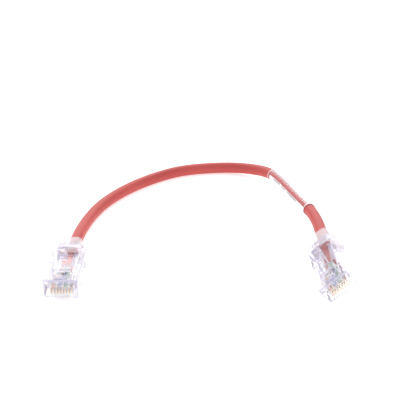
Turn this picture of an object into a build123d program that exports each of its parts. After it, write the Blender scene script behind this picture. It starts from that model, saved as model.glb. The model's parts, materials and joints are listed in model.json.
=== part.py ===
"""Short ethernet patch cable: a red round cord between two clear 8-position modular plugs.

Millimetres, +Z up. The origin is at the middle of the plugs' base, on the surface the cable lies on.
Each plug has its own seat plane: x across the plug, y from its nose to its rear, z from its
contact side to its latch side.
"""

import os

from build123d import *

# Plug body
plug_width = 11.68
plug_length = 21.4
plug_height = 8.0
nose_step = 1.4
nose_step_start = 9.0
nose_step_end = 10.6
nose_chamfer = 0.6
corner_radius = 0.5
nose_wall = 1.0

# Cavities of the plug body
cavity_width = 6.2
cavity_height = 4.7
funnel_width = 8.9
funnel_floor = 2.6
funnel_roof = 6.2
latch_trough_width = 7.2
latch_trough_floor = 7.0
latch_trough_rear = 18.6

# Contacts
contact_count = 8
contact_pitch = 1.016
contact_thickness = 0.3
contact_bottom = 2.3
contact_corner = 0.3
contact_front = 0.55
contact_rear = 5.1
contact_shoulder = 4.1
tooth_width = 0.5
tooth_starts = (1.3, 2.8, 4.3)
contact_slot = 0.34
spring_slot = 0.62
spring_slot_top = 3.0

# Conductors
wire_diameter = 0.8
copper_diameter = 0.32
wire_height = 5.2
wire_front = 1.15
ring_radius = 1.1
guide_width = 9.4
guide_floor = 4.0
guide_roof = 6.1
guide_front = 1.05
guide_rear = 5.35
guide_gap = 0.05

# Cord
cord_diameter = 4.4
jacket_bore = 3.4
jacket_end = 12.0
cord_height = 4.2
pair_diameter = 1.36
pair_offset = 0.695

# Jacket clamp, in its window on the contact side
clamp_front = 13.5
clamp_rear = 17.3
clamp_width = 5.6
clamp_bottom = 0.5

# Boot
boot_flange_width = 9.9
boot_flange_height = 8.3
boot_flange_thickness = 2.8
boot_waist_width = 8.8
boot_waist_height = 7.4
boot_end = 30.8
boot_end_diameter = 6.1
boot_bore = 5.1

# Latch
latch_lean = 4
latch_pivot_along = 1.5
latch_pivot_height = 7.95
latch_barrel_radius = 0.42
latch_root_gap = 0.06
latch_root_width = 3.9
latch_width = 6.1
latch_shoulder = 8.36
latch_lever_width = 3.25
latch_lever_end = 16.2
latch_lever_top = 11.7
latch_block_front = 5.2
latch_block_top = 9.1
latch_thickness = 0.85

# Label wrapped round the cord near the right plug
label_inner_radius = 2.24
label_paper_thickness = 0.18
label_film_gap = 0.02
label_film_thickness = 0.24
label_paper_gap_angle = 55
label_paper_gap_middle = 52
label_start = 137.6
label_end = 174.2

# Where each plug lies: its nose's place, then its yaw, pitch and roll in degrees
plug_places = {
    "left": ((-46.58, -14.58, 0.0), (-2.4, 0.0, 0.0)),
    "right": ((49.17, -15.43, 2.95), (4.8, 4.2, -42.3)),
}
wire_names = ("white_orange", "orange", "white_green", "blue", "white_blue", "green", "white_brown", "brown")
wire_ring_angles = (157.5, 202.5, 112.5, 247.5, 292.5, 67.5, 22.5, -22.5)
pair_names = ("orange", "green", "blue", "brown")
pair_places = ((-1, 1), (1, 1), (-1, -1), (1, -1))

# The cord's route between its two ends inside the plugs
route_between = (
    (-45.4, 15.2, 4.2),
    (-43.2, 34.2, 2.6),
    (-38.4, 49.5, 2.2),
    (-29.5, 62.7, 2.2),
    (-18.8, 72.7, 2.2),
    (-7.3, 79.9, 2.2),
    (8.8, 82.5, 2.2),
    (19.2, 80.3, 2.9),
    (28.3, 72.7, 4.8),
    (32.8, 60.5, 6.4),
    (36.6, 47.2, 7.5),
    (42.7, 29.7, 8.4),
    (43.9, 12.7, 8.1),
)
bend_share = 0.45


def seat_of(side):
    """The plug's own plane: yaw about the vertical, then pitch, then roll about its length."""
    place, (yaw, pitch, roll) = plug_places[side]
    turned = Location(place, (0, 0, yaw)) * Location((0, 0, 0), (pitch, 0, 0)) * Location((0, 0, 0), (0, roll, 0))
    return Plane(turned)


def point_on(seat, across, along, height):
    return seat.origin + seat.x_dir * across + seat.y_dir * along + seat.z_dir * height


def side_plane(seat, across=0.0):
    """Looking across the plug: x runs to the rear, y runs up."""
    return Plane(point_on(seat, across, 0, 0), x_dir=seat.y_dir, z_dir=seat.x_dir)


def front_plane(seat, along):
    """Facing the nose: x runs across, y runs up, and a positive extrusion goes towards the nose."""
    return Plane(point_on(seat, 0, along, 0), x_dir=seat.x_dir, z_dir=-seat.y_dir)


def level_plane(seat, height):
    """Level with the contact side: x runs across, y runs to the rear."""
    return Plane(point_on(seat, 0, 0, height), x_dir=seat.x_dir, z_dir=seat.z_dir)


def latch_plane(seat):
    """The plug's plane at the latch's root, leaning towards pin 1 as the latch does."""
    across = seat.x_dir.rotate(Axis((0, 0, 0), seat.z_dir), latch_lean)
    return Plane(point_on(seat, 0, latch_pivot_along, 0), x_dir=across, z_dir=seat.z_dir)


def pin_across(pin):
    return (pin - (contact_count - 1) / 2) * contact_pitch


def save(piece, name):
    piece.part.label = name
    export_step(piece.part, f"parts/{name}.step")


def make_housing(seat, name):
    with BuildPart() as housing:
        with BuildSketch(side_plane(seat)):
            with BuildLine():
                Polyline(
                    (0, nose_step),
                    (0, plug_height - nose_chamfer),
                    (nose_chamfer, plug_height),
                    (plug_length, plug_height),
                    (plug_length, 0),
                    (nose_step_end, 0),
                    (nose_step_start, nose_step),
                    close=True,
                )
            make_face()
        extrude(amount=plug_width / 2, both=True)
        fillet(housing.edges().filter_by(Axis((0, 0, 0), seat.y_dir)), corner_radius)
        # Cable cavity, open at the rear, and the funnel where the wires fan out
        with BuildSketch(front_plane(seat, plug_length)):
            with Locations((0, cord_height)):
                RectangleRounded(cavity_width, cavity_height, cavity_height / 2 - 0.4)
        extrude(amount=plug_length - jacket_end, mode=Mode.SUBTRACT)
        with BuildSketch(front_plane(seat, jacket_end)):
            with Locations((0, (funnel_floor + funnel_roof) / 2)):
                RectangleRounded(funnel_width, funnel_roof - funnel_floor, 0.5)
        extrude(amount=jacket_end - guide_rear, mode=Mode.SUBTRACT)
        # Pocket of the wire guide, behind the nose wall
        with BuildSketch(front_plane(seat, guide_rear)):
            with Locations((0, (guide_floor + guide_roof) / 2)):
                Rectangle(guide_width + 2 * guide_gap, guide_roof - guide_floor + 2 * guide_gap)
        extrude(amount=guide_rear - nose_wall, mode=Mode.SUBTRACT)
        # Slots for the contacts, wider at the bottom for the jack's springs
        for pin in range(contact_count):
            with BuildSketch(side_plane(seat, pin_across(pin))):
                with BuildLine():
                    Polyline(
                        (contact_front - 0.05, nose_step - 1),
                        (contact_front - 0.05, guide_floor + 0.5),
                        (contact_rear + 0.05, guide_floor + 0.5),
                        (contact_rear + 0.05, nose_step - 1),
                        close=True,
                    )
                make_face()
            extrude(amount=contact_slot / 2, both=True, mode=Mode.SUBTRACT)
            with BuildSketch(side_plane(seat, pin_across(pin))):
                with BuildLine():
                    Polyline(
                        (-1, nose_step - 1),
                        (-1, spring_slot_top),
                        (contact_rear + 0.3, spring_slot_top),
                        (contact_rear + 0.9, nose_step - 1),
                        close=True,
                    )
                make_face()
            extrude(amount=spring_slot / 2, both=True, mode=Mode.SUBTRACT)
        # Trough under the latch, with the round seat of the latch's root at its front
        with BuildSketch(level_plane(seat, latch_trough_floor)):
            with Locations((0, (latch_pivot_along + latch_trough_rear) / 2)):
                Rectangle(latch_trough_width, latch_trough_rear - latch_pivot_along)
        extrude(amount=plug_height, mode=Mode.SUBTRACT)
        with BuildSketch(side_plane(latch_plane(seat))):
            with Locations((0, latch_pivot_height)):
                Circle(latch_barrel_radius + latch_root_gap)
        extrude(amount=latch_trough_width / 2, both=True, mode=Mode.SUBTRACT)
        # Window of the jacket clamp
        with BuildSketch(level_plane(seat, -1)):
            with Locations((0, (clamp_front + clamp_rear) / 2)):
                Rectangle(clamp_width + 0.2, clamp_rear - clamp_front + 0.2)
        extrude(amount=1 + cord_height, mode=Mode.SUBTRACT)
    save(housing, name)


def make_latch(seat, name):
    """Relaxed latch: root barrel, widening strap, square shoulder block and the long narrow lever."""
    pivot = latch_plane(seat)
    block_front = latch_block_front - latch_pivot_along
    shoulder = latch_shoulder - latch_pivot_along
    lever_end = latch_lever_end - latch_pivot_along
    under = latch_block_top - latch_thickness
    with BuildPart() as latch:
        with BuildSketch(side_plane(pivot)):
            with Locations((0, latch_pivot_height)):
                Circle(latch_barrel_radius)
        extrude(amount=latch_root_width / 2, both=True)
        # Strap from the root, and the shoulder block
        with BuildSketch(side_plane(pivot)):
            with BuildLine():
                Polyline(
                    (0, latch_pivot_height - 0.35),
                    (0, latch_pivot_height + 0.35),
                    (block_front, latch_block_top - 0.25),
                    (block_front + 0.3, latch_block_top),
                    (shoulder, latch_block_top),
                    (shoulder, under - 0.1),
                    (block_front, under - 0.1),
                    close=True,
                )
            make_face()
        extrude(amount=latch_width / 2, both=True)
        # The strap narrows to its root
        for hand in (-1, 1):
            with BuildSketch(level_plane(pivot, 0)):
                with BuildLine():
                    Polyline(
                        (hand * latch_root_width / 2, -1),
                        (hand * latch_root_width / 2, 0.7),
                        (hand * latch_width / 2, 1.7),
                        (hand * (latch_width / 2 + 1), 1.7),
                        (hand * (latch_width / 2 + 1), -1),
                        close=True,
                    )
                make_face()
            extrude(amount=2 * plug_height, mode=Mode.SUBTRACT)
        # Lever, bent up behind the shoulder, with two grip ribs
        with BuildSketch(side_plane(pivot)):
            with BuildLine():
                Polyline(
                    (shoulder - 1, under - 0.1),
                    (shoulder - 1, latch_block_top),
                    (shoulder, latch_block_top),
                    (lever_end, latch_lever_top),
                    (lever_end + 0.25, latch_lever_top - 0.5),
                    (lever_end - 0.1, latch_lever_top - latch_thickness),
                    (shoulder + 0.3, under - 0.1),
                    close=True,
                )
            make_face()
        extrude(amount=latch_lever_width / 2, both=True)
        for along in (0.35, 0.52):
            with BuildSketch(side_plane(pivot)):
                with Locations(
                    (
                        shoulder + along * (lever_end - shoulder),
                        latch_block_top + along * (latch_lever_top - latch_block_top),
                    )
                ):
                    Circle(0.22)
            extrude(amount=latch_lever_width / 2, both=True)
    save(latch, name)


def make_contacts(seat, name):
    with BuildPart() as contacts:
        for pin in range(contact_count):
            with BuildSketch(side_plane(seat, pin_across(pin))):
                with BuildLine():
                    outline = [(contact_rear, contact_bottom), (contact_front + contact_corner, contact_bottom)]
                    outline += [(contact_front, contact_bottom + contact_corner), (contact_front, contact_shoulder)]
                    for start in tooth_starts:
                        tip = wire_height - copper_diameter / 2
                        outline += [(start, contact_shoulder), (start + tooth_width / 2, tip)]
                        outline += [(start + tooth_width, contact_shoulder)]
                    outline += [(contact_rear, contact_shoulder)]
                    Polyline(*outline, close=True)
                make_face()
            extrude(amount=contact_thickness / 2, both=True)
    save(contacts, name)


def make_wire_guide(seat, name):
    with BuildPart() as wire_guide:
        with BuildSketch(front_plane(seat, guide_rear)):
            with Locations((0, (guide_floor + guide_roof) / 2)):
                Rectangle(guide_width, guide_roof - guide_floor)
            for pin in range(contact_count):
                with Locations((pin_across(pin), wire_height)):
                    Circle(wire_diameter / 2 + guide_gap, mode=Mode.SUBTRACT)
        extrude(amount=guide_rear - guide_front)
        for pin in range(contact_count):
            with BuildSketch(level_plane(seat, guide_floor - 1)):
                with Locations((pin_across(pin), (tooth_starts[0] + tooth_starts[-1] + tooth_width) / 2)):
                    Rectangle(contact_slot, tooth_starts[-1] + tooth_width - tooth_starts[0] + 0.1)
            extrude(amount=wire_height - guide_floor + 1, mode=Mode.SUBTRACT)
            with BuildSketch(front_plane(seat, guide_rear)):
                with Locations((pin_across(pin), guide_floor)):
                    Rectangle(contact_slot, 0.3)
            extrude(amount=guide_rear - guide_front, mode=Mode.SUBTRACT)
    save(wire_guide, name)


def wire_route(seat, pin):
    """Points of one conductor, from the jacket's end to the nose."""
    direction = Vector(1, 0).rotate(Axis.Z, wire_ring_angles[pin])
    ring_across = ring_radius * direction.X
    ring_height = cord_height + ring_radius * direction.Y
    return [
        point_on(seat, ring_across, jacket_end, ring_height),
        point_on(seat, ring_across, jacket_end - 0.6, ring_height),
        point_on(seat, pin_across(pin), 8.2, ring_height),
        point_on(seat, pin_across(pin), 6.2, wire_height),
        point_on(seat, pin_across(pin), wire_front, wire_height),
    ]


def make_wire(seat, pin, name):
    with BuildPart() as wire:
        with BuildLine():
            path = FilletPolyline(*wire_route(seat, pin), radius=0.5)
        with BuildSketch(Plane(path @ 0, z_dir=path % 0)):
            Circle(wire_diameter / 2)
            Circle(copper_diameter / 2, mode=Mode.SUBTRACT)
        sweep(path=path)
        # Cuts made in the insulation by the contact's teeth
        with BuildSketch(side_plane(seat, pin_across(pin))):
            with BuildLine():
                Polyline(
                    (tooth_starts[0] - 0.05, guide_floor),
                    (tooth_starts[0] - 0.05, wire_height - copper_diameter / 2),
                    (tooth_starts[-1] + tooth_width + 0.05, wire_height - copper_diameter / 2),
                    (tooth_starts[-1] + tooth_width + 0.05, guide_floor),
                    close=True,
                )
            make_face()
        extrude(amount=contact_slot / 2, both=True, mode=Mode.SUBTRACT)
    save(wire, name)


def make_copper(seat, name):
    with BuildPart() as copper:
        for pin in range(contact_count):
            with BuildLine():
                path = FilletPolyline(*wire_route(seat, pin), radius=0.5)
            with BuildSketch(Plane(path @ 0, z_dir=path % 0)):
                Circle(copper_diameter / 2)
            sweep(path=path)
    save(copper, name)


def make_clamp(seat, name):
    """Wedge pressed against the jacket from the contact side."""
    with BuildPart() as clamp:
        with BuildSketch(level_plane(seat, clamp_bottom)):
            with Locations((0, (clamp_front + clamp_rear) / 2)):
                Rectangle(clamp_width, clamp_rear - clamp_front)
        extrude(amount=cord_height - cord_diameter / 2 + 0.7 - clamp_bottom)
        with BuildSketch(front_plane(seat, clamp_rear + 1)):
            with Locations((0, cord_height)):
                Circle(cord_diameter / 2 + 0.02)
        extrude(amount=clamp_rear - clamp_front + 2, mode=Mode.SUBTRACT)
    save(clamp, name)


def make_boot(seat, name):
    """Clear collar behind the body, tapering to a ring round the cord."""
    flange_rear = plug_length + boot_flange_thickness
    with BuildPart() as boot:
        with BuildSketch(front_plane(seat, flange_rear)):
            with Locations((0, cord_height)):
                RectangleRounded(boot_flange_width, boot_flange_height, 2.2)
        extrude(amount=boot_flange_thickness)
        with BuildSketch(front_plane(seat, flange_rear)):
            with Locations((0, cord_height)):
                RectangleRounded(boot_waist_width, boot_waist_height, 2.4)
        with BuildSketch(front_plane(seat, boot_end)):
            with Locations((0, cord_height)):
                RectangleRounded(boot_end_diameter, boot_end_diameter, boot_end_diameter / 2 - 0.1)
        loft()
        with BuildSketch(front_plane(seat, boot_end + 1)):
            with Locations((0, cord_height)):
                Circle(boot_bore / 2)
        extrude(amount=boot_end + 2 - plug_length, mode=Mode.SUBTRACT)
    save(boot, name)


def cord_points():
    ends = [point_on(seat_of(side), 0, jacket_end, cord_height) for side in plug_places]
    return [ends[0], *(Vector(*point) for point in route_between), ends[1]]


def bend_radii(points):
    """Each arc is as large as its two runs allow."""
    radii = []
    for before, corner, after in zip(points, points[1:], points[2:]):
        coming, going = corner - before, after - corner
        turn = coming.get_angle(going)
        half_turn = Vector(1, 0).rotate(Axis.Z, turn / 2)
        radii.append(bend_share * min(coming.length, going.length) * half_turn.X / half_turn.Y)
    return radii


def make_along_cord(path, draw, name):
    """Sweeps what draw() sketches along the path."""
    with BuildPart() as piece:
        with BuildLine():
            add(path)
        with BuildSketch(Plane(path @ 0, x_dir=(path % 0).cross(Vector(0, 0, 1)), z_dir=path % 0)) as section:
            draw()
        sweep(path=path)
    save(piece, name)
    return piece.part.volume, section.sketch.area * path.length


def draw_jacket():
    Circle(cord_diameter / 2)
    Circle(jacket_bore / 2, mode=Mode.SUBTRACT)


def draw_pair(across, up):
    with Locations((across * pair_offset, up * pair_offset)):
        Circle(pair_diameter / 2)


def draw_label_paper():
    Circle(label_inner_radius + label_paper_thickness)
    Circle(label_inner_radius, mode=Mode.SUBTRACT)
    edge = Vector(2 * label_inner_radius, 0).rotate(Axis.Z, label_paper_gap_middle)
    sides = [edge.rotate(Axis.Z, label_paper_gap_angle / 2 * hand) for hand in (1, -1)]
    Polygon((0, 0), (sides[0].X, sides[0].Y), (sides[1].X, sides[1].Y), align=None, mode=Mode.SUBTRACT)


def draw_label_film():
    inner = label_inner_radius + label_paper_thickness + label_film_gap
    Circle(inner + label_film_thickness)
    Circle(inner, mode=Mode.SUBTRACT)


os.makedirs("parts", exist_ok=True)

for side in plug_places:
    seat = seat_of(side)
    make_housing(seat, f"{side}_housing")
    make_latch(seat, f"{side}_latch")
    make_contacts(seat, f"{side}_contacts")
    make_wire_guide(seat, f"{side}_wire_guide")
    make_clamp(seat, f"{side}_jacket_clamp")
    make_boot(seat, f"{side}_boot")
    make_copper(seat, f"{side}_copper")
    for pin, colour in enumerate(wire_names):
        make_wire(seat, pin, f"{side}_wire_{colour}")

points = cord_points()
radii = bend_radii(points)
route = FilletPolyline(*points, radius=radii)
print("cord bend radii", [round(radius, 1) for radius in radii])
print("cord length", round(route.length, 1))
solid, expected = make_along_cord(route, draw_jacket, "jacket")
print("jacket volume", round(solid, 1), "section times length", round(expected, 1))
for colour, place in zip(pair_names, pair_places):
    make_along_cord(route, lambda: draw_pair(*place), f"{colour}_pair")
label_path = route.trim(label_start / route.length, label_end / route.length)
make_along_cord(label_path, draw_label_paper, "label_paper")
make_along_cord(label_path, draw_label_film, "label_film")
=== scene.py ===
"""Looks of the short ethernet patch cable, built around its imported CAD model. Metres, the CAD's frame."""

import json
import math

import bmesh
import bpy
import numpy as np
from mathutils import Matrix, Vector


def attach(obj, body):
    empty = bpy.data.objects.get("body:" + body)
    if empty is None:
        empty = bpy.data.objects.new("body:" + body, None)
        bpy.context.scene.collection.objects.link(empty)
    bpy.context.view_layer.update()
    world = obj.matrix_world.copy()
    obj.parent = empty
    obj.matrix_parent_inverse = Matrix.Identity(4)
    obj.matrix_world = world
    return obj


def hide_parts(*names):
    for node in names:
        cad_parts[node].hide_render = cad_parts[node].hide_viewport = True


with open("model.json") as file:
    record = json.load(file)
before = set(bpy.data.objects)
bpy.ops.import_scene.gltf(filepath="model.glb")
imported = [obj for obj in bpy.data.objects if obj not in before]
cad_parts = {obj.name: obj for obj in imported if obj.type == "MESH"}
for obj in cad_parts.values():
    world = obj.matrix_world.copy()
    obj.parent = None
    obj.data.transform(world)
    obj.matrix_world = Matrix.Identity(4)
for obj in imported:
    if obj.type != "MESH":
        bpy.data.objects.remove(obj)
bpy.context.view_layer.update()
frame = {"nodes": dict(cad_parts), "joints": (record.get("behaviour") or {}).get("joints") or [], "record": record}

MM = 0.001
SIDES = ("left", "right")
Z_UP = Vector((0, 0, 1))

# Places on a plug, in its own millimetres: across, along from the nose, up from the contact side
MOUNT_HEIGHT = 4.7
JACKET_END = 12.0
CORD_HEIGHT = 4.2
PLUG_LENGTH = 21.4
PLUG_WIDTH = 11.68
PLUG_HEIGHT = 8.0
NOSE_STEP = 1.4
NOSE_STEP_END = 10.6
TROUGH_WIDTH = 7.2
TROUGH_END = 18.6
BOOT_END = 30.8
CONTACT_PITCH = 1.016
WIRE_HEIGHT = 5.2
WIRE_FRONT = 1.15
RING_RADIUS = 1.1
WIRE_RADIUS = 0.4
RING_ANGLES = (157.5, 202.5, 112.5, 247.5, 292.5, 67.5, 22.5, -22.5)
WIRES = ("white_orange", "orange", "white_green", "blue", "white_blue", "green", "white_brown", "brown")

# Cord and what is on it
CORD_DIAMETER = 0.0044
CORD_RESOLUTION = 24
CORD_ROUTE = (
    (-0.0454, 0.0152, 0.0042),
    (-0.0432, 0.0342, 0.0026),
    (-0.0384, 0.0495, 0.0022),
    (-0.0295, 0.0627, 0.0022),
    (-0.0188, 0.0727, 0.0022),
    (-0.0073, 0.0799, 0.0022),
    (0.0088, 0.0825, 0.0022),
    (0.0192, 0.0803, 0.0029),
    (0.0283, 0.0727, 0.0048),
    (0.0328, 0.0605, 0.0064),
    (0.0366, 0.0472, 0.0075),
    (0.0427, 0.0297, 0.0084),
    (0.0439, 0.0127, 0.0081),
)
PAIRS = ("orange", "green", "blue", "brown")
PAIR_PLACES = ((-1, 1), (1, 1), (-1, -1), (1, -1))
PAIR_OFFSET = 0.000695
PAIR_WIRE_RADIUS = 0.00032
PAIR_SPREAD = 1.04
PAIR_END_GAP = 0.0004
PAIR_LAY = 0.014

# Label: distances along the cord in metres, and angles round it, from sideways to up. The paper leaves a gap
# for the cord to show through. The dashes' groups are shares of the paper's length.
LABEL_START = 0.1388
LABEL_END = 0.1753
PAPER_INSET = 0.0014
PAPER_LENGTH = 0.0349
PAPER_RADIUS = 0.00226
PAPER_THICKNESS = 0.00014
PAPER_START = 80
PAPER_TURN = 305
FILM_RADIUS = 0.00246
FILM_THICKNESS = 0.00009
FILM_CLIMB = 0.00013
FILM_START = 200
FILM_TURN = 395
# Width of the painted highlight at each cut end of the label's film
FILM_END_HIGHLIGHT_WIDTH = 0.0005
DASH_GROUPS = ((0.12, 0.3), (0.36, 0.48), (0.52, 0.8))
DASH_PITCH = 0.0011
DASH_SHARE = 0.6
DASH_ANGLE = 367
DASH_TURN = 20

# Stripe on a white conductor
STRIPE_TURNS_PER_METRE = 60.0
STRIPE_SHARE = 0.3

# Light
WORLD_STRENGTH = 0.95
FLOOR_GLOW = 0.5
MOST_BOUNCES = 48


# ---------------------------------------------------------------- plugs' places, from the frame


def plug_matrix(side):
    """The plug's own frame: x across, y from nose to rear, z towards the latch.

    It comes from the plug's mount and its latch's pivot.
    """
    mount = next(m for m in frame["record"]["mounts"] if m["name"] == side + "_plug")
    joint = next(j for j in frame["joints"] if j["name"] == side + "_latch_pivot")
    nose = Vector(mount["pos_m"])
    rear = -Vector(mount["axis"]).normalized()
    up = Vector(joint["pos_m"]) - nose
    up = (up - rear * up.dot(rear)).normalized()
    across = rear.cross(up)
    origin = nose - up * MOUNT_HEIGHT * MM
    turn = Matrix((across, rear, up)).transposed()
    return Matrix.Translation(origin) @ turn.to_4x4()


PLUGS = {side: plug_matrix(side) for side in SIDES}


def on_plug(side, across, along, height):
    return PLUGS[side] @ (Vector((across, along, height)) * MM)


def pin_across(pin):
    return (pin - 3.5) * CONTACT_PITCH


# ---------------------------------------------------------------- camera

CAMERA_ELEVATION = 28.04
CAMERA_DISTANCE = 0.4237
CAMERA_TARGET = Vector((0.00004, 0.05765, 0))
CAMERA_LENS = 96.3


def make_camera():
    camera = bpy.data.objects.new("camera", bpy.data.cameras.new("camera"))
    bpy.context.scene.collection.objects.link(camera)
    camera.data.lens = CAMERA_LENS
    camera.data.sensor_width = 36
    tilt = math.radians(CAMERA_ELEVATION)
    away = Vector((0, -math.cos(tilt), math.sin(tilt)))
    camera.location = CAMERA_TARGET + away * CAMERA_DISTANCE
    camera.rotation_euler = (math.pi / 2 - tilt, 0, 0)
    camera.data.clip_start = 0.01
    camera.data.clip_end = 10
    bpy.context.scene.camera = camera


make_camera()


# ---------------------------------------------------------------- mesh helpers


def link(name, data):
    piece = bpy.data.objects.new(name, data)
    bpy.context.scene.collection.objects.link(piece)
    return piece


def level_axes(points, up):
    """Each point's tangent, side and upward directions, with the side level to up, so nothing twists."""
    points = np.asarray(points, float)
    tangents = np.gradient(points, axis=0)
    tangents /= np.linalg.norm(tangents, axis=1)[:, None]
    sides = np.cross(tangents, np.asarray(up, float))
    sides /= np.linalg.norm(sides, axis=1)[:, None]
    return tangents, sides, np.cross(sides, tangents)


def sweep_section(name, points, section, up=(0, 0, 1)):
    """A closed 2D section swept along points and capped. UV: metres along, and the share of the way round."""
    points = np.asarray(points, float)
    section = np.asarray(section, float)
    _, sides, ups = level_axes(points, up)
    run = np.concatenate([[0], np.cumsum(np.linalg.norm(np.diff(points, axis=0), axis=1))])
    count, ring = len(points), len(section)
    mesh = bmesh.new()
    rows = []
    for i in range(count):
        places = points[i] + (section[:, :1] * sides[i] + section[:, 1:] * ups[i])
        rows.append([mesh.verts.new(place) for place in places])
    uv = mesh.loops.layers.uv.new("UVMap")
    for i in range(count - 1):
        for j in range(ring):
            k = (j + 1) % ring
            face = mesh.faces.new((rows[i][j], rows[i][k], rows[i + 1][k], rows[i + 1][j]))
            face.smooth = True
            corners = ((i, j), (i, j + 1), (i + 1, j + 1), (i + 1, j))
            for loop, (a, b) in zip(face.loops, corners):
                loop[uv].uv = (run[a], b / ring)
    for cap, at in ((rows[0][::-1], run[0]), (rows[-1], run[-1])):
        face = mesh.faces.new(cap)
        for loop in face.loops:
            loop[uv].uv = (at, 0)
            loop.edge.smooth = False
    bmesh.ops.recalc_face_normals(mesh, faces=mesh.faces)
    data = bpy.data.meshes.new(name)
    mesh.to_mesh(data)
    mesh.free()
    return link(name, data)


def circle(radius, sides):
    angles = np.linspace(0, 2 * math.pi, sides, endpoint=False)
    return np.stack([radius * np.cos(angles), radius * np.sin(angles)], 1)


def wrap_section(radius, thickness, start, turn, climb=0.0, steps=72):
    """A band bent round the cord from start degrees over turn degrees, climbing as a wrapped film does."""
    angles = np.radians(np.linspace(start, start + turn, steps))
    rise = np.linspace(0, climb, steps)
    way = np.stack([np.cos(angles), np.sin(angles)], 1)
    outer = way * (radius + thickness + rise)[:, None]
    inner = way * (radius + rise)[:, None]
    return np.concatenate([outer, inner[::-1]])


def spline_points(points, resolution=12):
    """Points read from an open NURBS spline through its end points."""
    curve = nurbs("reader", points, resolution)
    mesh = bpy.data.meshes.new_from_object(curve)
    read = np.array([v.co[:] for v in mesh.vertices])
    bpy.data.objects.remove(curve)
    bpy.data.meshes.remove(mesh)
    return read


def nurbs(name, points, resolution):
    data = bpy.data.curves.new(name, "CURVE")
    data.dimensions = "3D"
    data.resolution_u = resolution
    spline = data.splines.new("NURBS")
    spline.points.add(len(points) - 1)
    for slot, point in zip(spline.points, points):
        slot.co = (*point, 1)
    spline.order_u = 3
    spline.use_endpoint_u = True
    return link(name, data)


# ---------------------------------------------------------------- material helpers


class Nodes:
    """A short way to write a material's node tree."""

    def __init__(self, name):
        self.material = bpy.data.materials.new(name)
        self.material.use_nodes = True
        self.tree = self.material.node_tree
        self.shader = self.tree.nodes["Principled BSDF"]

    def set(self, **values):
        for key, value in values.items():
            self.shader.inputs[key.replace("_", " ")].default_value = value
        return self

    def add(self, kind, values=(), **settings):
        node = self.tree.nodes.new(kind)
        for key, value in settings.items():
            setattr(node, key, value)
        for key, value in dict(values).items():
            node.inputs[key].default_value = value
        return node

    def join(self, source, target):
        self.tree.links.new(source, target)

    def math(self, operation, first, second=None):
        node = self.add("ShaderNodeMath", operation=operation)
        for slot, value in zip(node.inputs, (first, second)):
            if value is None:
                continue
            if isinstance(value, (int, float)):
                slot.default_value = value
            else:
                self.join(value, slot)
        return node.outputs[0]

    def noise(self, scale, detail):
        source = self.add("ShaderNodeTexCoord").outputs["Object"]
        node = self.add("ShaderNodeTexNoise", {"Scale": scale, "Detail": detail})
        self.join(source, node.inputs["Vector"])
        return node.outputs["Fac"]

    def along_and_round(self):
        """A swept piece's UV: metres along it, and the share of the way round it."""
        parts = self.add("ShaderNodeSeparateXYZ")
        self.join(self.add("ShaderNodeUVMap", uv_map="UVMap").outputs[0], parts.inputs[0])
        return parts.outputs[0], parts.outputs[1]

    def ramp(self, factor, stops):
        node = self.add("ShaderNodeValToRGB")
        elements = node.color_ramp.elements
        while len(elements) < len(stops):
            elements.new(0.5)
        for element, (place, colour) in zip(elements, stops):
            element.position = place
            element.color = (*colour, 1)
        self.join(factor, node.inputs["Fac"])
        return node.outputs["Color"]

    def mix(self, factor, first, second):
        node = self.add("ShaderNodeMix", data_type="RGBA")
        for slot, value in ((node.inputs[0], factor), (node.inputs[6], first), (node.inputs[7], second)):
            if isinstance(value, tuple):
                slot.default_value = (*value, 1)
            elif isinstance(value, (int, float)):
                slot.default_value = value
            else:
                self.join(value, slot)
        return node.outputs[2]

    def bump(self, height, strength, distance):
        node = self.add("ShaderNodeBump", {"Strength": strength, "Distance": distance})
        self.join(height, node.inputs["Height"])
        self.join(node.outputs["Normal"], self.shader.inputs["Normal"])

    def colour(self, source):
        self.join(source, self.shader.inputs["Base Color"])

    def roughness(self, factor, low, high):
        node = self.add("ShaderNodeMapRange", {"To Min": low, "To Max": high})
        self.join(factor, node.inputs["Value"])
        self.join(node.outputs[0], self.shader.inputs["Roughness"])


def dress(piece, material):
    piece.data.materials.clear()
    piece.data.materials.append(material)


def clear_plastic(name, tint, deep_tint, clarity=0.95, ior=1.09, low_roughness=0.02, high_roughness=0.1):
    """Clear moulding: a slight tint that gathers in patches, uneven gloss and shallow dents."""
    nodes = Nodes(name)
    nodes.set(Transmission_Weight=clarity, IOR=ior, Coat_Weight=0.6, Coat_Roughness=0.05)
    haze = nodes.noise(350, 6)
    patches = nodes.noise(90, 2)
    nodes.colour(nodes.mix(patches, tint, deep_tint))
    nodes.roughness(haze, low_roughness, high_roughness)
    nodes.bump(nodes.noise(220, 3), 0.12, 0.0002)
    return nodes.material


def jacket_material():
    """Satin extruded PVC: a fine grain, and soft patches that differ a little in shade and gloss."""
    nodes = Nodes("jacket_red")
    nodes.set(Specular_IOR_Level=0.35, Sheen_Weight=0.1, Sheen_Roughness=0.35)
    nodes.set(Sheen_Tint=(1.0, 0.85, 0.85, 1))
    patches = nodes.noise(60, 3)
    grain = nodes.noise(2600, 3)
    base = nodes.ramp(patches, ((0.3, (0.49, 0.068, 0.06)), (0.7, (0.56, 0.088, 0.076))))
    nodes.colour(nodes.mix(nodes.math("MULTIPLY", grain, 0.2), base, (0.43, 0.05, 0.044)))
    nodes.roughness(patches, 0.42, 0.56)
    nodes.bump(grain, 0.25, 0.00006)
    return nodes.material


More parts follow.
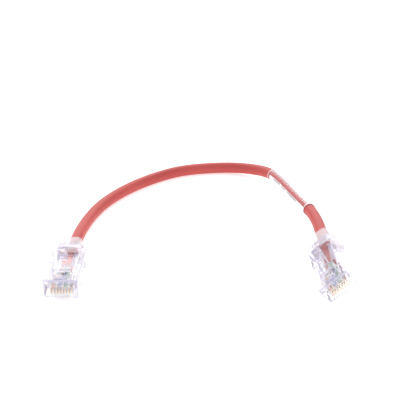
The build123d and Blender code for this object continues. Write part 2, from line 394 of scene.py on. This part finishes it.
def wire_material(name, base, stripe=None):
    """Extruded insulation. A pair's white wire has the pair's colour as a stripe that winds round it."""
    nodes = Nodes(name)
    nodes.set(Roughness=0.38, Coat_Weight=0.2)
    grain = nodes.noise(900, 2)
    colour = nodes.mix(nodes.math("MULTIPLY", grain, 0.35), base, tuple(0.75 * c for c in base))
    if stripe:
        length, turn = nodes.along_and_round()
        wound = nodes.math("ADD", nodes.math("MULTIPLY", length, STRIPE_TURNS_PER_METRE), turn)
        striped = nodes.math("LESS_THAN", nodes.math("FRACT", wound), STRIPE_SHARE)
        colour = nodes.mix(striped, colour, stripe)
    nodes.colour(colour)
    nodes.bump(grain, 0.1, 0.00003)
    return nodes.material


def metal_material(name, base, worn, low, high):
    nodes = Nodes(name)
    nodes.set(Metallic=1.0)
    grain = nodes.noise(1500, 4)
    nodes.colour(nodes.mix(grain, base, worn))
    nodes.roughness(grain, low, high)
    nodes.bump(grain, 0.15, 0.00003)
    return nodes.material


COLOURS = {
    "orange": (0.85, 0.3, 0.05),
    "green": (0.08, 0.42, 0.14),
    "blue": (0.06, 0.27, 0.75),
    "brown": (0.2, 0.08, 0.04),
}
WHITE = (0.86, 0.86, 0.84)
RED = jacket_material()
CLEAR = clear_plastic("plug_clear", (1.0, 0.995, 1.0), (0.975, 0.968, 1.0))
# painted edge shade: lavender and less clear, put on strips along the plugs' edges where refraction darkens clear
# plastic
CLEAR_EDGE_SHADE = clear_plastic("clear_edge_painted_shade", (0.76, 0.73, 0.86), (0.68, 0.65, 0.8), 0.4)
CLEAR_INNER = clear_plastic("guide_clear", (1.0, 1.0, 1.0), (0.985, 0.985, 1.0), 1.0, 1.1)
CLEAR_BOOT = clear_plastic("boot_clear", (1.0, 0.985, 1.0), (0.97, 0.955, 0.99), 0.68, 1.15, 0.06, 0.16)
# painted shade: the shadow line along the boot flange's rear edge and in its groove
BOOT_GROOVE_SHADE = clear_plastic("boot_groove_painted_shade", (0.6, 0.57, 0.73), (0.52, 0.49, 0.66), 0.3, 1.15, 0.08, 0.2)
GOLD = metal_material("contact_gold", (0.95, 0.72, 0.38), (0.82, 0.56, 0.26), 0.16, 0.34)
COPPER = metal_material("bare_copper", (0.9, 0.45, 0.28), (0.7, 0.3, 0.18), 0.25, 0.45)
INSULATION = {name: wire_material("wire_" + name, colour) for name, colour in COLOURS.items()}
for name, colour in COLOURS.items():
    INSULATION["white_" + name] = wire_material("wire_white_" + name, WHITE, colour)


# ---------------------------------------------------------------- cord, its pairs and its label


def cord_points():
    ends = [on_plug(side, 0, JACKET_END, CORD_HEIGHT) for side in SIDES]
    return [tuple(ends[0]), *CORD_ROUTE, tuple(ends[1])]


def along(line, start, end, count):
    """Evenly spaced points on a line between two distances from its start."""
    run = np.concatenate([[0], np.cumsum(np.linalg.norm(np.diff(line, axis=0), axis=1))])
    wanted = np.linspace(start, end, count)
    return np.stack([np.interp(wanted, run, line[:, axis]) for axis in range(3)], 1)


def make_jacket():
    jacket = nurbs("red_jacket", cord_points(), CORD_RESOLUTION)
    line = spline_points(cord_points(), CORD_RESOLUTION)
    jacket.data.bevel_depth = CORD_DIAMETER / 2
    jacket.data.bevel_resolution = 10
    jacket.data.use_fill_caps = True
    dress(jacket, RED)
    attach(jacket, "cable")
    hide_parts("jacket")
    return jacket, line


def make_pair(colour, place, line):
    """Two wires twisted round each other, inside the jacket."""
    length = np.linalg.norm(np.diff(line, axis=0), axis=1).sum()
    points = along(line, PAIR_END_GAP, length - PAIR_END_GAP, 420)
    _, sides, ups = level_axes(points, Z_UP)
    centre = points + PAIR_OFFSET * (place[0] * sides + place[1] * ups)
    turns = np.linspace(0, 2 * math.pi * length / PAIR_LAY, len(points))[:, None]
    swing = PAIR_WIRE_RADIUS * PAIR_SPREAD * (np.cos(turns) * sides + np.sin(turns) * ups)
    first = sweep_section(f"{colour}_pair_wires", centre + swing, circle(PAIR_WIRE_RADIUS, 8))
    second = sweep_section("mate", centre - swing, circle(PAIR_WIRE_RADIUS, 8))
    first.data.materials.append(INSULATION[colour])
    first.data.materials.append(INSULATION["white_" + colour])
    mesh = bmesh.new()
    mesh.from_mesh(first.data)
    own = len(mesh.faces)
    mesh.from_mesh(second.data)
    mesh.faces.ensure_lookup_table()
    for face in mesh.faces[own:]:
        face.material_index = 1
    mesh.to_mesh(first.data)
    mesh.free()
    bpy.data.objects.remove(second)
    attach(first, "cable")
    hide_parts(f"{colour}_pair")
    return first


def between(nodes, source, low, high):
    """One where the source lies between two values."""
    above = nodes.math("GREATER_THAN", source, low)
    return nodes.math("MULTIPLY", above, nodes.math("LESS_THAN", source, high))


def label_print_material():
    """White vinyl with groups of plain dashes where a label's marks would be."""
    nodes = Nodes("label_white")
    nodes.set(Roughness=0.5)
    length, turn = nodes.along_and_round()
    grain = nodes.noise(1200, 3)
    paper = nodes.mix(grain, (0.93, 0.92, 0.92), (0.87, 0.86, 0.86))
    groups = 0.0
    for start, end in DASH_GROUPS:
        inside = between(nodes, length, start * PAPER_LENGTH, end * PAPER_LENGTH)
        groups = nodes.math("ADD", inside, groups)
    within_pitch = nodes.math("FRACT", nodes.math("DIVIDE", length, DASH_PITCH))
    dashes = nodes.math("LESS_THAN", within_pitch, DASH_SHARE)
    middle = (DASH_ANGLE - PAPER_START) / PAPER_TURN / 2
    reach = DASH_TURN / PAPER_TURN / 4
    row = between(nodes, turn, middle - reach, middle + reach)
    mark = nodes.math("MULTIPLY", nodes.math("MULTIPLY", dashes, row), groups)
    nodes.colour(nodes.mix(mark, paper, (0.17, 0.15, 0.16)))
    nodes.bump(grain, 0.1, 0.00003)
    return nodes.material


def label_film_material():
    """Glossy laminate with painted highlights: whitened at its cut ends, and whitening across the cord's gap as it
    nears the step at the paper's edge.
    """
    nodes = Nodes("label_clear")
    nodes.set(Specular_IOR_Level=1.0, IOR=1.6)
    length, turn = nodes.along_and_round()
    middle = (LABEL_END - LABEL_START) / 2
    from_middle = nodes.math("ABSOLUTE", nodes.math("SUBTRACT", length, middle))
    # painted highlight: a whitened band at each cut end of the film
    ends = nodes.math("MULTIPLY", nodes.math("GREATER_THAN", from_middle, middle - FILM_END_HIGHLIGHT_WIDTH), 0.6)
    # painted highlight: the film whitens across the cord's gap, most at the step at the paper's edge and fading
    # away from it
    step = 0.5 - (PAPER_START + 360 - FILM_START) / FILM_TURN / 2
    highlight_fading = {"From Min": step, "From Max": step + 0.04, "To Min": 0.32, "To Max": 0.04}
    gap_highlight = nodes.add("ShaderNodeMapRange", highlight_fading)
    nodes.join(nodes.math("ABSOLUTE", nodes.math("SUBTRACT", turn, 0.5)), gap_highlight.inputs["Value"])
    nodes.join(nodes.math("MAXIMUM", ends, gap_highlight.outputs[0]), nodes.shader.inputs["Alpha"])
    haze = nodes.noise(60, 2)
    nodes.colour(nodes.mix(haze, (0.95, 0.9, 0.92), (0.88, 0.82, 0.85)))
    nodes.roughness(haze, 0.2, 0.28)
    return nodes.material


def make_label(line):
    paper_from = LABEL_START + PAPER_INSET
    paper_line = along(line, paper_from, paper_from + PAPER_LENGTH, 90)
    film_line = along(line, LABEL_START, LABEL_END, 90)
    paper_section = wrap_section(PAPER_RADIUS, PAPER_THICKNESS, PAPER_START, PAPER_TURN)
    film_section = wrap_section(FILM_RADIUS, FILM_THICKNESS, FILM_START, FILM_TURN, FILM_CLIMB)
    paper = sweep_section("label_sheet", paper_line, paper_section)
    film = sweep_section("label_laminate", film_line, film_section)
    dress(paper, label_print_material())
    dress(film, label_film_material())
    for piece, node, slot in ((paper, "label_paper", "label_white"), (film, "label_film", "label_clear")):
        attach(piece, "cable")
        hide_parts(node)
    return [paper, film]


jacket, cord_line = make_jacket()
on_cord = [make_pair(colour, place, cord_line) for colour, place in zip(PAIRS, PAIR_PLACES)]
on_cord += make_label(cord_line)


# ---------------------------------------------------------------- plugs


def make_wires(side):
    """Insulated conductors, from the jacket's end out to their places over the contacts."""
    up = PLUGS[side].to_3x3() @ Z_UP
    for pin, name in enumerate(WIRES):
        angle = math.radians(RING_ANGLES[pin])
        ring = (RING_RADIUS * math.cos(angle), CORD_HEIGHT + RING_RADIUS * math.sin(angle))
        route = (
            (ring[0], JACKET_END + 0.3, ring[1]),
            (ring[0], JACKET_END - 0.8, ring[1]),
            (pin_across(pin), 8.6, ring[1]),
            (pin_across(pin), 6.0, WIRE_HEIGHT),
            (pin_across(pin), 4.0, WIRE_HEIGHT),
            (pin_across(pin), WIRE_FRONT, WIRE_HEIGHT),
        )
        points = spline_points([tuple(on_plug(side, *place)) for place in route])
        wire = sweep_section(f"{side}_conductor_{name}", points, circle(WIRE_RADIUS * MM, 16), up)
        dress(wire, INSULATION[name])
        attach(wire, "cable")
        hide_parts(f"{side}_wire_{name}")


# Along the plug, half width, half height and corner radius, in the plug's millimetres
BOOT_SECTIONS = (
    (PLUG_LENGTH + 0.02, 4.85, 4.05, 2.0),
    (PLUG_LENGTH + 0.15, 4.94, 4.14, 2.1),
    (PLUG_LENGTH + 1.5, 4.94, 4.14, 2.1),
    (PLUG_LENGTH + 2.5, 4.94, 4.14, 2.1),
    (PLUG_LENGTH + 2.75, 4.85, 4.05, 2.1),
    (PLUG_LENGTH + 2.8, 4.4, 3.7, 1.7),
    (PLUG_LENGTH + 3.1, 4.25, 3.65, 1.7),
    (PLUG_LENGTH + 5.2, 3.8, 3.4, 1.6),
    (PLUG_LENGTH + 5.5, 3.7, 3.3, 1.6),
    (PLUG_LENGTH + 7.4, 3.35, 3.15, 1.5),
    (BOOT_END - 0.4, 3.04, 3.04, 1.4),
    (BOOT_END - 0.05, 3.0, 3.0, 1.4),
    (BOOT_END, 2.85, 2.85, 1.4),
    (BOOT_END - 0.05, 2.52, 2.52, 2.5),
    (BOOT_END - 2.0, 2.5, 2.5, 2.48),
    (PLUG_LENGTH + 0.02, 2.5, 2.5, 2.48),
)

# The sections after which the boot's surface is painted a lavender shade: the shadow line along its flange's rear
# edge, down into the groove
BOOT_GROOVE = (2, 3, 4, 5)


def rounded_rectangle(half_width, half_height, corner, steps=7):
    """Points round a rectangle whose corners are arcs."""
    points = []
    for quarter, (x, y) in enumerate(((1, 1), (-1, 1), (-1, -1), (1, -1))):
        centre = (x * (half_width - corner), y * (half_height - corner))
        for angle in np.linspace(0, math.pi / 2, steps) + quarter * math.pi / 2:
            points.append((centre[0] + corner * math.cos(angle), centre[1] + corner * math.sin(angle)))
    return points


def make_boot(side):
    """The clear collar: a rounded flange, a groove, then shoulders that close in to a lip round the cord."""
    mesh = bmesh.new()
    rows = []
    for place, half_width, half_height, corner in BOOT_SECTIONS:
        outline = rounded_rectangle(half_width, half_height, min(corner, half_width, half_height))
        rows.append([mesh.verts.new(on_plug(side, x, place, CORD_HEIGHT + y)) for x, y in outline])
    for i, row in enumerate(rows):
        following = rows[(i + 1) % len(rows)]
        for j in range(len(row)):
            k = (j + 1) % len(row)
            face = mesh.faces.new((row[j], row[k], following[k], following[j]))
            face.smooth = True
            # painted shade on the flange's rear edge and in the groove
            face.material_index = int(i in BOOT_GROOVE)
    bmesh.ops.recalc_face_normals(mesh, faces=mesh.faces)
    data = bpy.data.meshes.new(f"{side}_strain_boot")
    mesh.to_mesh(data)
    mesh.free()
    data.materials.append(CLEAR_BOOT)
    data.materials.append(BOOT_GROOVE_SHADE)
    boot = link(f"{side}_strain_boot", data)
    smooth = boot.modifiers.new("smooth", "SUBSURF")
    smooth.levels = smooth.render_levels = 1
    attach(boot, "cable")
    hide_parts(f"{side}_boot")


# Clear plastic looks darker and lavender along its edges, where light refracts in it, so that shade is painted on
# a strip beside each edge. The body's strips are in the plug's millimetres, and the other sizes here in metres.
EDGE_WIDTH = 0.45
LATCH_EDGE_WIDTH = 0.00022
LATCH_SMALLEST_FLAT = 1.0e-6
CONTACT_ROUNDING = 0.00004

# A face is slanted where its normal has no part as large as this along the plug's own axes
SLANT = 0.97

# A place on each cut through the body, and the cut's direction
EDGE_CUTS = (
    ((PLUG_WIDTH / 2 - EDGE_WIDTH, 0, 0), (1, 0, 0)),
    ((EDGE_WIDTH - PLUG_WIDTH / 2, 0, 0), (1, 0, 0)),
    ((TROUGH_WIDTH / 2 + EDGE_WIDTH, 0, 0), (1, 0, 0)),
    ((-TROUGH_WIDTH / 2 - EDGE_WIDTH, 0, 0), (1, 0, 0)),
    ((0, EDGE_WIDTH, 0), (0, 1, 0)),
    ((0, PLUG_LENGTH - EDGE_WIDTH, 0), (0, 1, 0)),
    ((0, 0, PLUG_HEIGHT - EDGE_WIDTH), (0, 0, 1)),
    ((0, 0, NOSE_STEP + EDGE_WIDTH), (0, 0, 1)),
    ((0, 0, EDGE_WIDTH), (0, 0, 1)),
)


def at_edge(place):
    """Whether a place on the body, in the plug's millimetres, is beside two outer faces or the trough."""
    x, y, z = abs(place.x), place.y, place.z
    floor = NOSE_STEP if y < NOSE_STEP_END else 0
    beside_trough = TROUGH_WIDTH / 2 - 0.01 < x < TROUGH_WIDTH / 2 + EDGE_WIDTH
    near = (
        x > PLUG_WIDTH / 2 - EDGE_WIDTH,
        y < EDGE_WIDTH,
        y > PLUG_LENGTH - EDGE_WIDTH,
        z > PLUG_HEIGHT - EDGE_WIDTH,
        z < floor + EDGE_WIDTH,
        beside_trough and y < TROUGH_END and z > PLUG_HEIGHT - 0.01,
    )
    return sum(near) > 1


def shade_body_edges(mesh, plug):
    """Cuts the body's faces beside its outer edges, and paints a lavender edge shade on those strips and every
    slanted face.
    """
    for place, direction in EDGE_CUTS:
        geometry = mesh.verts[:] + mesh.edges[:] + mesh.faces[:]
        normal = (plug.to_3x3() @ Vector(direction)).normalized()
        point = plug @ (Vector(place) * MM)
        bmesh.ops.bisect_plane(mesh, geom=geometry, dist=1e-7, plane_co=point, plane_no=normal)
    inside = plug.inverted()
    for face in mesh.faces:
        slant = max(abs(part) for part in inside.to_3x3() @ face.normal) < SLANT
        # index 1 is the painted edge shade
        face.material_index = int(slant or at_edge(inside @ face.calc_center_median() / MM))


def join_flats(mesh, _plug):
    """Makes one face of the CAD triangles that lie in one plane."""
    bmesh.ops.dissolve_limit(mesh, angle_limit=math.radians(0.6), verts=mesh.verts, edges=mesh.edges)


def shade_latch_edges(mesh, plug):
    """Paints a lavender edge shade on a rim round each larger flat face of the latch, and on all its smaller
    faces.
    """
    join_flats(mesh, plug)
    flat = [face for face in mesh.faces if face.calc_area() > LATCH_SMALLEST_FLAT]
    bmesh.ops.inset_individual(mesh, faces=flat, thickness=LATCH_EDGE_WIDTH, use_even_offset=True)
    kept = set(flat)
    for face in mesh.faces:
        # index 1 is the painted edge shade
        face.material_index = int(face not in kept)


def dress_moulding(side, node, name, body, material, treat, rounding=0):
    """A copy of a CAD node with its joins closed, its faces treated and, if asked, its edges rounded."""
    mesh = bmesh.new()
    mesh.from_mesh(frame["nodes"][f"{side}_{node}"].data)
    bmesh.ops.remove_doubles(mesh, verts=mesh.verts, dist=1e-6)
    for face in mesh.faces:
        face.smooth = False
    treat(mesh, PLUGS[side])
    bmesh.ops.dissolve_degenerate(mesh, dist=2e-7, edges=mesh.edges)
    data = bpy.data.meshes.new(f"{side}_{name}")
    mesh.to_mesh(data)
    mesh.free()
    piece = link(f"{side}_{name}", data)
    data.materials.append(material)
    # the second slot holds the painted edge shade, for the faces that the treatment marks
    data.materials.append(CLEAR_EDGE_SHADE)
    if rounding:
        bevel = piece.modifiers.new("rounding", "BEVEL")
        bevel.width = rounding
        bevel.segments = 2
        bevel.limit_method = "ANGLE"
        bevel.angle_limit = math.radians(35)
    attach(piece, body)
    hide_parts(f"{side}_{node}")


for side in SIDES:
    make_wires(side)
    make_boot(side)
    dress_moulding(side, "housing", "clear_body", "cable", CLEAR, shade_body_edges)
    dress_moulding(side, "latch", "spring_latch", f"{side}_latch", CLEAR, shade_latch_edges)
    dress_moulding(
        side, "contacts", "gold_blades", "cable", GOLD, join_flats, CONTACT_ROUNDING
    )
    dress(frame["nodes"][f"{side}_copper"], COPPER)
    dress(frame["nodes"][f"{side}_wire_guide"], CLEAR_INNER)
    dress(frame["nodes"][f"{side}_jacket_clamp"], CLEAR_INNER)


# ---------------------------------------------------------------- floor and light


def make_floor():
    mesh = bmesh.new()
    bmesh.ops.create_grid(mesh, x_segments=1, y_segments=1, size=3)
    data = bpy.data.meshes.new("floor")
    mesh.to_mesh(data)
    mesh.free()
    floor = link("floor", data)
    floor.location.z = -0.00002
    nodes = Nodes("floor")
    nodes.set(Base_Color=(0.93, 0.93, 0.93, 1), Roughness=0.7, Specular_IOR_Level=0.2)
    nodes.set(Emission_Color=(1, 1, 1, 1), Emission_Strength=FLOOR_GLOW)
    dress(floor, nodes.material)


def make_light(name, place, size, power, target=(0, 0.03, 0)):
    light = bpy.data.objects.new(name, bpy.data.lights.new(name, "AREA"))
    bpy.context.scene.collection.objects.link(light)
    light.data.shape = "RECTANGLE"
    light.data.size, light.data.size_y = size
    light.data.energy = power
    light.location = place
    light.rotation_euler = (Vector(target) - Vector(place)).to_track_quat("-Z", "Y").to_euler()


def make_world():
    """A white light tent, a little lavender on its near side."""
    world = bpy.data.worlds.new("room")
    bpy.context.scene.world = world
    world.use_nodes = True
    tree = world.node_tree
    background = tree.nodes["Background"]
    place = tree.nodes.new("ShaderNodeTexCoord")
    split = tree.nodes.new("ShaderNodeSeparateXYZ")
    ramp = tree.nodes.new("ShaderNodeValToRGB")
    lift = tree.nodes.new("ShaderNodeMath")
    lift.operation = "MULTIPLY_ADD"
    lift.inputs[1].default_value = 0.5
    lift.inputs[2].default_value = 0.5
    tree.links.new(place.outputs["Generated"], split.inputs[0])
    tree.links.new(split.outputs[1], lift.inputs[0])
    tree.links.new(lift.outputs[0], ramp.inputs[0])
    tree.links.new(ramp.outputs[0], background.inputs[0])
    ramp.color_ramp.elements[0].position = 0.05
    ramp.color_ramp.elements[0].color = (0.84, 0.81, 0.93, 1)
    ramp.color_ramp.elements[1].position = 0.35
    ramp.color_ramp.elements[1].color = (1, 1, 1, 1)
    background.inputs[1].default_value = WORLD_STRENGTH


make_floor()
make_world()
make_light("left_back", (-0.55, 0.5, 0.4), (0.5, 0.5), 0.4)
make_light("back_strip", (0.0, 0.95, 0.68), (1.3, 0.42), 7.0)
cycles = bpy.context.scene.cycles
cycles.max_bounces = cycles.transmission_bounces = MOST_BOUNCES
bpy.context.scene.view_settings.view_transform = "Standard"
